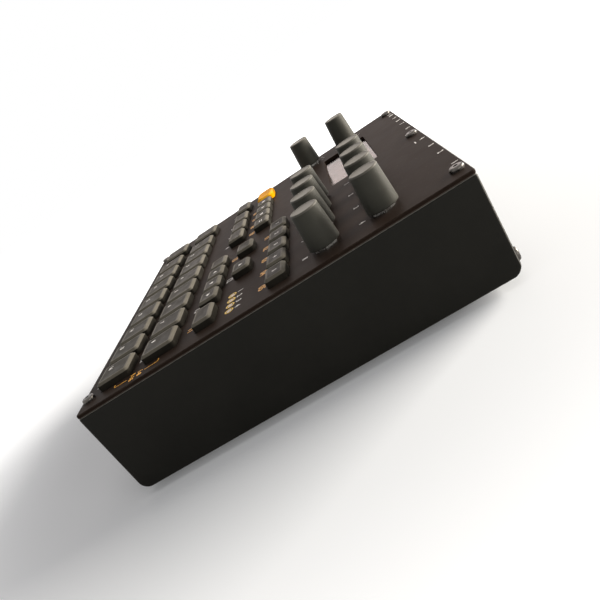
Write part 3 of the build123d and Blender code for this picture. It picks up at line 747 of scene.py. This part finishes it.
def knobProfile(bottom, top, values):
    # half section from the bore's roof down, round the skirt and up to the top: the side swells
    # by belly times the sine of its height, and the top is a shallow bowl inside a narrow rim
    roof = top - values["roof"]
    recess = bottom + values["recessDepth"]
    inside, base, upper = values["recessRadius"], values["baseRadius"], values["topRadius"]
    flareOut, flareUp = values["recessFlare"]
    inner = np.array([(values["roofHole"], roof), (values["bore"], roof), (values["bore"], recess),
                      (inside, recess), (inside, bottom + flareUp)])
    foot = roundedProfile([(inside, bottom + flareUp), (inside + flareOut, bottom), (base, bottom),
                           (base, bottom + values["skirtRise"])],
                          [values["recessEdge"], values["skirtEdge"]])[1:]
    share = np.linspace(*values["sideShares"])
    side = np.stack([base + (upper - base) * share + values["belly"] * np.sin(share * pi),
                     bottom + (top - bottom) * share], -1)[1:]
    rim = upper - values["rimWidth"]
    slope, drop = values["rimSlope"], values["rimDrop"]
    crown = roundedProfile([side[-1], (upper, top), (rim, top), (rim - slope, top - drop)],
                           [values["topEdge"], values["rimEdge"]], values["topSteps"])[1:]
    bowlShare = np.linspace(*values["dishShares"])
    bowl = np.stack([(rim - slope) * bowlShare,
                     top - drop - (values["dish"] - drop) * (1 - bowlShare ** 2)], -1)
    return np.concatenate([inner, foot, side, crown, bowl]), len(inner) + len(foot) + len(side)


def shaftRings(x, y, bottom, top, values):
    # turned shaft with one flat: the radius at each angle is the smaller of the round one and
    # the distance to the flat divided by the cosine of the angle
    angle = np.arange(values["segments"]) * 2 * pi / values["segments"]
    foot, end, flatLow = values["footChamfer"], values["endChamfer"], top - values["flatLength"]
    height = np.array([bottom, bottom + foot, flatLow, flatLow + values["flatStep"],
                       top - end, top])
    radius = np.array([values["radius"] - foot] + [values["radius"]] * 4
                      + [values["radius"] - end])
    facing = np.cos(angle) > 0
    toFlat = np.full(len(angle), np.inf)
    toFlat[facing] = values["flat"] / np.cos(angle[facing])
    grid = np.repeat(radius[:, None], len(angle), 1)
    grid[3:] = np.minimum(grid[3:], toFlat[None])     # the flat starts at the fourth ring
    return np.stack([x + grid * np.cos(angle), y + grid * np.sin(angle),
                     np.repeat(height[:, None], len(angle), 1)], -1)


def buildKnobs(values, shaft):
    # a rubber skin and a steel shaft per knob node, on the node's upright middle line
    knobBottom = panelTop / mm + values["panelGap"]
    for name in knobNames:
        low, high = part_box(name)
        x, y = ((low + high) / 2 / mm)[:2]
        top = high.z / mm
        profile, crownStart = knobProfile(knobBottom, top, values)
        rings = revolve(profile, x, y, values["segments"]) * mm
        edge = np.zeros(len(profile))
        edge[crownStart:crownStart + values["wornRows"]] = 1.0
        points = loftPoints(rings, overZ=(top - values["dish"]) * mm)
        edges = np.concatenate([np.repeat(edge, values["segments"]), [0, 0]])
        skin = newPiece("grip_" + name[5:], points, loftFaces(*rings.shape[:2]),
                        "knobRubber", name, edges)
        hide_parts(name)
        shaftTop = top - values["roof"] - shaft["endGap"]
        rings = shaftRings(x, y, low.z / mm, shaftTop, shaft) * mm
        newPiece("shaft_" + name[5:], loftPoints(rings), loftFaces(*rings.shape[:2]),
                 "nickelSteel", name)


buildKnobs(knobSet, shaftSet)
print("knobs built:", len(knobNames))


nodeFinish = {
    "bottom_case": "casePaint",
    "top_panel": "panelPaint",
    "rubber_feet": "footRubber",
    "case_fasteners": "blackSteel",
    "key_switches": "mouldedBlack",
    "encoder_housings": "nickelSteel",
    "clear_lenses": "windowGlass",
    "display_module": "mouldedBlack",
    "circuit_boards": "boardMask",
    "rear_connectors": "mouldedBlack",
    "power_rocker": "mouldedBlack",
}
mountPlaces = {m["name"]: np.array(m["pos_m"]) for m in frame["record"]["mounts"]}
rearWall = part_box("bottom_case")[1].y


def faceMiddles(name):
    # middles of a node's faces, in metres
    mesh = frame["nodes"][name].data
    middles = np.zeros(len(mesh.polygons) * 3, np.float32)
    mesh.polygons.foreach_get("center", middles)
    return middles.reshape(-1, 3)


def dressNodes(finishes):
    # one finish all over each node
    for name, finish in finishes.items():
        mesh = frame["nodes"][name].data
        mesh.materials.clear()
        mesh.materials.append(materials[finish])


def dressPart(name, finish, chosen):
    # gives the chosen faces of a node a second finish
    mesh = frame["nodes"][name].data
    mesh.materials.append(materials[finish])
    index = np.zeros(len(mesh.polygons), np.int32)
    mesh.polygons.foreach_get("material_index", index)
    index[chosen] = len(mesh.materials) - 1
    mesh.polygons.foreach_set("material_index", index)


lensSet = {"divide": 30, "pipeGap": 1.5}      # the window lies left of x = divide, the pipes right


def dressLamps(values):
    dressPart("clear_lenses", "amberPipe",
              faceMiddles("clear_lenses")[:, 0] > values["divide"] * mm)


displaySet = {"rim": 2.2, "skin": 0.5}      # dark frame left round the glass, depth of its faces


def dressDisplay(values):
    # the glass is what lies under the window, inside its dark frame, at the display's top
    lenses = faceMiddles("clear_lenses")
    window = lenses[lenses[:, 0] < lensSet["divide"] * mm, 0]
    middles = faceMiddles("display_module")
    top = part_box("display_module")[1].z
    rim = values["rim"] * mm
    inside = (middles[:, 0] > window.min() + rim) & (middles[:, 0] < window.max() - rim)
    dressPart("display_module", "displayGlass",
              inside & (middles[:, 2] > top - values["skin"] * mm))


connectorSet = {
    # millimetres; each pair of depths is measured inwards from the rear wall
    "nut": (4.6, 6.2), "nutDepth": 0.1, "pinCircle": 5.0, "pinDepths": (0.2, 4.5),
    "shellWide": 9.6, "shellTall": 8.8, "shellDepths": (0.3, 9.5), "inletPins": 1.3,
}


def dressConnectors(values):
    # nickel ring nuts, gold pins and a bright shell round the square socket
    x, y, z = faceMiddles("rear_connectors").T

    def between(depths):
        return (y > rearWall - depths[1] * mm) & (y < rearWall - depths[0] * mm)

    bright = np.zeros(len(x), bool)
    pins = np.zeros(len(x), bool)
    nutInner, nutOuter = values["nut"]
    for name, place in mountPlaces.items():
        away = np.hypot(x - place[0], z - place[2])
        if name.startswith("audio_jack"):
            bright |= (away > nutInner * mm) & (away < nutOuter * mm) & (
                y > rearWall - values["nutDepth"] * mm)
        if name.startswith("midi_socket"):
            pins |= (away < values["pinCircle"] * mm) & between(values["pinDepths"])
        if name == "usb_socket":
            wide = np.abs(x - place[0]) < values["shellWide"] / 2 * mm
            tall = np.abs(z - place[2]) < values["shellTall"] / 2 * mm
            bright |= wide & tall & between(values["shellDepths"])
        if name == "power_inlet":
            pins |= away < values["inletPins"] * mm
    dressPart("rear_connectors", "nickelSteel", bright)
    dressPart("rear_connectors", "contactGold", pins & ~bright)


dressNodes(nodeFinish)
dressLamps(lensSet)
dressDisplay(displaySet)
dressConnectors(connectorSet)
print("nodes dressed")


printSet = {
    "film": 0.03,              # ink thickness, millimetres
    "bold": 0.030,             # share of a figure's size that its strokes grow by
    "glyphDetail": 3, "crease": 30,
}
glyphCache = {}


def glyphs(text, size):
    # a line of plain figures as a thin closed mesh round its own middle, in millimetres
    if (text, size) not in glyphCache:
        curve = bpy.data.curves.new("glyph", "FONT")
        curve.body = text
        curve.size = size
        curve.align_x, curve.align_y = "CENTER", "CENTER"
        curve.extrude = printSet["film"] / 2
        curve.offset = printSet["bold"] * size
        curve.resolution_u = printSet["glyphDetail"]
        letter = bpy.data.objects.new("glyph", curve)
        bpy.context.scene.collection.objects.link(letter)
        bpy.context.view_layer.update()
        mesh = bpy.data.meshes.new_from_object(letter)
        points = np.zeros(len(mesh.vertices) * 3)
        mesh.vertices.foreach_get("co", points)
        glyphCache[text, size] = points.reshape(-1, 3), [tuple(p.vertices) for p in mesh.polygons]
        bpy.data.objects.remove(letter)
        bpy.data.curves.remove(curve)
        bpy.data.meshes.remove(mesh)
    return glyphCache[text, size]


def prism(outline):
    # a convex outline as a thin closed plate round z = 0
    outline = np.asarray(outline, float)
    count = len(outline)
    half = printSet["film"] / 2
    points = np.concatenate([np.c_[outline, np.full(count, -half)],
                             np.c_[outline, np.full(count, half)]])
    ring = np.arange(count)
    following = (ring + 1) % count
    sides = np.stack([ring, following, following + count, ring + count], -1).tolist()
    return points, sides + [tuple(ring[::-1]), tuple(ring + count)]


def bar(width, depth, corner=0.2):
    # plain plate with rounded corners
    return prism(roundedRing(width, depth, corner, 4, 0)[0])


def disc(radius, sides=24):
    # round plate
    angle = np.arange(sides) * 2 * pi / sides
    return prism(np.c_[radius * np.cos(angle), radius * np.sin(angle)])


def triangle(size, turn):
    # equilateral arrow head of circumradius size, pointing along turn degrees
    angle = radians(turn) + np.arange(3) * 2 * pi / 3
    return prism(np.c_[size * np.cos(angle), size * np.sin(angle)])


def annulus(inner, outer, sides=40):
    # flat ring: a rectangle carried round a circle, closed both ways
    half = printSet["film"] / 2
    angle = np.arange(sides) * 2 * pi / sides
    radius = np.array([inner, outer, outer, inner])[:, None]
    height = np.array([-half, -half, half, half])[:, None]
    points = np.stack([radius * np.cos(angle), radius * np.sin(angle), height + 0 * angle], -1)
    row, column = np.meshgrid(np.arange(4), np.arange(sides), indexing="ij")
    up, along = (row + 1) % 4, (column + 1) % sides
    faces = np.stack([row * sides + column, row * sides + along, up * sides + along,
                      up * sides + column], -1)
    return points.reshape(-1, 3), faces.reshape(-1, 4).tolist()


class InkSheet:
    # collects shapes printed in one ink on one body
    def __init__(self, name, ink, body, slotName):
        self.name, self.ink, self.body, self.slotName = name, ink, body, slotName
        self.points, self.faces, self.count = [], [], 0

    def add(self, shape, x, y, z):
        points, faces = shape
        self.points.append(points + [x, y, z + printSet["film"] / 2])
        self.faces += [tuple(int(i) + self.count for i in face) for face in faces]
        self.count += len(points)

    def finish(self):
        return newPiece(self.name, np.concatenate(self.points) * mm, self.faces, self.ink,
                        self.body, sharp=printSet["crease"])


labelSet = {
    "figure": 4.8, "smallFigure": 3.5,                        # figure sizes, millimetres
    "labelDrop": 3.2, "knobDrop": 9.7,                        # below a key's edge, a knob's middle
    "tickReach": (8.3, 9.3), "tickTurn": (-60, 240, 11), "tickLine": 0.3,
    "lampFigureRise": 3.9, "lampRing": (1.45, 2.1),
}
bracketSet = {
    "inset": 6.3, "reach": 7.0, "inner": 2.6, "outer": 4.0, "foot": 2.6,
    "bend": 1.2, "bendSteps": 7, "line": 0.35,
    "figure": 3.3, "figureShift": 0.1, "figureRise": 1.9,
    "rearMark": 1.7, "frontMark": 1.3, "frontMarkDrop": 3.6,
}
rearSet = {
    "figure": 3.5, "inset": 2.5, "screws": (-97, 0, 97), "screwRoom": 6.2,
    "barred": (4, 5), "bar": (4.2, 0.5), "barInset": 5.9,
}
caseTop = panelTop / mm


def stroke(points, width):
    # a thin closed band of constant width along a polyline, mitred by the mean of its normals
    points = np.asarray(points, float)
    step = np.diff(points, axis=0)
    normal = np.c_[-step[:, 1], step[:, 0]] / np.linalg.norm(step, axis=1)[:, None]
    side = np.concatenate([normal[:1], (normal[:-1] + normal[1:]) / 2, normal[-1:]])
    side /= np.linalg.norm(side, axis=1)[:, None]
    count, half = len(points), printSet["film"] / 2
    edges = [np.c_[points + sign * side * width / 2, np.full(count, z)]
             for sign, z in ((-1, -half), (1, -half), (1, half), (-1, half))]
    ring = np.arange(count - 1)
    walls = ((0, 1), (1, 2), (2, 3), (3, 0))
    faces = [np.stack([a * count + ring, a * count + ring + 1, b * count + ring + 1,
                       b * count + ring], -1)[:, ::-1] for a, b in walls]
    first = count * np.arange(4)
    ends = [first.tolist(), (first[::-1] + count - 1).tolist()]
    return np.concatenate(edges), np.concatenate(faces).tolist() + ends


def lampMiddles(values):
    # centres of the four light pipes, from the node's own faces
    middles = faceMiddles("clear_lenses") / mm
    pipes = middles[middles[:, 0] > values["divide"]]
    x, y = np.sort(pipes[:, 0]), pipes[:, 1]
    groups = np.split(x, np.flatnonzero(np.diff(x) > values["pipeGap"]) + 1)
    return [(group.min() + group.max()) / 2 for group in groups], (y.min() + y.max()) / 2


def nodeMiddle(name):
    # x and y of the middle of a node's box, millimetres
    low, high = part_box(name)
    return ((low + high) / 2 / mm)[:2]


def printUnderKeys(white, orange, values):
    # running numbers at the captioned keys, then plain ones at the mode keys
    labelled = [(f"key_parameter_{index}", orange) for index in range(1, 6)]
    labelled += [(f"key_transport_{index}", orange) for index in range(1, 5)]
    labelled += [("key_yes", orange), ("key_page", orange)]
    labelled += [("key_up", white), ("key_right", white)]
    labels = [(name, sheet, f"{number:02d}", values["figure"])
              for number, (name, sheet) in enumerate(labelled, 1)]
    labels += [(f"key_mode_{index}", white, f"{index}", values["smallFigure"])
               for index in range(1, 5)]
    for name, sheet, text, size in labels:
        x, y, _, depth, _ = keyCaps[name]
        sheet.add(glyphs(text, size), x, y - depth / 2 - values["labelDrop"], caseTop)


def printAtKnobs(white, values):
    # a figure below each data knob, and dial ticks round the two at the left
    for index in range(1, 9):
        x, y = nodeMiddle(f"knob_data_{index}")
        white.add(glyphs(f"{index}", values["smallFigure"]), x, y - values["knobDrop"], caseTop)
    reach = np.array(values["tickReach"])[:, None]
    for name in ("knob_volume", "knob_level"):
        x, y = nodeMiddle(name)
        for angle in np.radians(np.linspace(*values["tickTurn"])):
            line = reach * [cos(angle), sin(angle)]
            white.add(stroke(line, values["tickLine"]), x, y, caseTop)


def printAtLamps(white, rings, values):
    # a ring round each lamp and its number above it
    places, lampY = lampMiddles(lensSet)
    for number, x in enumerate(places, 1):
        rings.add(annulus(*values["lampRing"]), x, lampY, caseTop)
        white.add(glyphs(f"{number}", values["smallFigure"]), x,
                  lampY + values["lampFigureRise"], caseTop)


def printBracket(white, orange, values):
    # bracket that joins the two step rows, with their figures between its arms: each arm is a
    # straight line, a quarter circle of radius bend and a short foot, mirrored in the middle
    x = rightEdge / mm - values["inset"]
    bend = values["bend"]
    rear, front = keyCaps["key_step_08"], keyCaps["key_step_16"]
    middle = (rear[1] + front[1]) / 2
    angle = np.linspace(0, pi / 2, values["bendSteps"])
    for sign, text in ((1, "1-8"), (-1, "9-16")):
        start = middle + sign * (values["reach"] - values["inner"])
        end = middle + sign * (values["reach"] + values["outer"])
        arc = np.c_[x - bend + bend * np.cos(angle),
                    end - sign * bend + sign * bend * np.sin(angle)]
        line = np.concatenate([[(x, start)], arc, [(x - values["foot"], end)]])
        orange.add(stroke(line[::sign], values["line"]), 0, 0, caseTop)
        orange.add(glyphs(text, values["figure"]), x + values["figureShift"],
                   middle + sign * values["figureRise"], caseTop)
    white.add(triangle(values["rearMark"], 90), rear[0], middle, caseTop)
    white.add(triangle(values["frontMark"], 90), front[0],
              front[1] - front[3] / 2 - values["frontMarkDrop"], caseTop)


def printAtRear(white, values):
    # figures over the rear connectors, counted from the right
    low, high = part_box("power_rocker")
    connectors = ["power_inlet", "usb_socket"] + [f"midi_socket_{n}" for n in (1, 2, 3)]
    connectors += [f"audio_jack_{n}" for n in (1, 2, 3, 4, 5)]
    middles = [(low.x + high.x) / 2] + [mountPlaces[name][0] for name in connectors]
    rear, room = rearEdge / mm, values["screwRoom"]
    for number, x in enumerate(middles, 1):
        x = x / mm
        for screw in values["screws"]:            # a figure stands beside a screw, not under it
            if abs(x - screw) < room:
                x = screw + (room if screw < 0 else -room)
        white.add(glyphs(f"{number}", values["figure"]), x, rear - values["inset"], caseTop)
        if number in values["barred"]:
            white.add(bar(*values["bar"]), x, rear - values["barInset"], caseTop)


def printPanel():
    # three inks, each one thin sheet of shapes on the panel
    white = InkSheet("print_white", "whiteInk", "case", "panel_paint")
    orange = InkSheet("print_orange", "orangeInk", "case", "panel_paint")
    rings = InkSheet("print_lamp_rings", "amberInk", "case", "panel_paint")
    printUnderKeys(white, orange, labelSet)
    printAtKnobs(white, labelSet)
    printAtLamps(white, rings, labelSet)
    printBracket(white, orange, bracketSet)
    printAtRear(white, rearSet)
    for sheet in (white, orange, rings):
        sheet.finish()


markSet = {
    "figure": 2.8, "stepPlace": (-3.4, -3.4), "proud": 0.004,     # on the keys, millimetres
    "arrow": 1.35, "disc": 1.1, "play": 1.4, "square": (2.0, 2.0, 0.1),
    "pause": (2.6, 0.45), "pauseShift": 0.6,
}


def bowlBend(points, cap, x, y):
    # lets ink follow the key's shallow bowl: lower by dish times one minus the share squared,
    # where the share is the larger of the two distances from the middle over the bowl's own
    flat = keySet["bevel"] + keySet["flat"]
    share = np.maximum(np.abs(points[:, 0] + x) / (cap[2] / 2 - flat),
                       np.abs(points[:, 1] + y) / (cap[3] / 2 - flat))
    bent = points.copy()
    bent[:, 2] -= keySet["dish"] * (1 - np.minimum(share, 1) ** 2)
    return bent


def markKey(name, shapes):
    # shapes are (shape, x, y) round the middle of the key's top
    cap = keyCaps[name]
    sheet = InkSheet("mark_" + name[4:], "whiteInk", name, "key_rubber")
    for (points, faces), x, y in shapes:
        sheet.add((bowlBend(points, cap, x, y), faces), cap[0] + x, cap[1] + y,
                  cap[4] + markSet["proud"])
    sheet.finish()


def markKeys(values):
    # figures on the step and parameter keys, plain signs on the arrow and transport keys
    size, pause, shift = values["figure"], bar(*values["pause"]), values["pauseShift"]
    for number in range(1, 17):
        markKey(f"key_step_{number:02d}", [(glyphs(f"{number}", size), *values["stepPlace"])])
    for name, turn in (("key_up", 90), ("key_down", 270), ("key_left", 180), ("key_right", 0)):
        markKey(name, [(triangle(values["arrow"], turn), 0, 0)])
    markKey("key_transport_1", [(disc(values["disc"]), 0, 0)])
    markKey("key_transport_2", [(triangle(values["play"], 0), 0, 0)])
    markKey("key_transport_3", [(bar(*values["square"]), 0, 0)])
    markKey("key_transport_4", [(pause, 0, shift), (pause, 0, -shift)])
    for number in range(1, 6):
        markKey(f"key_parameter_{number}", [(glyphs(f"{number}", size), 0, 0)])


printPanel()
markKeys(markSet)
print("marks printed")
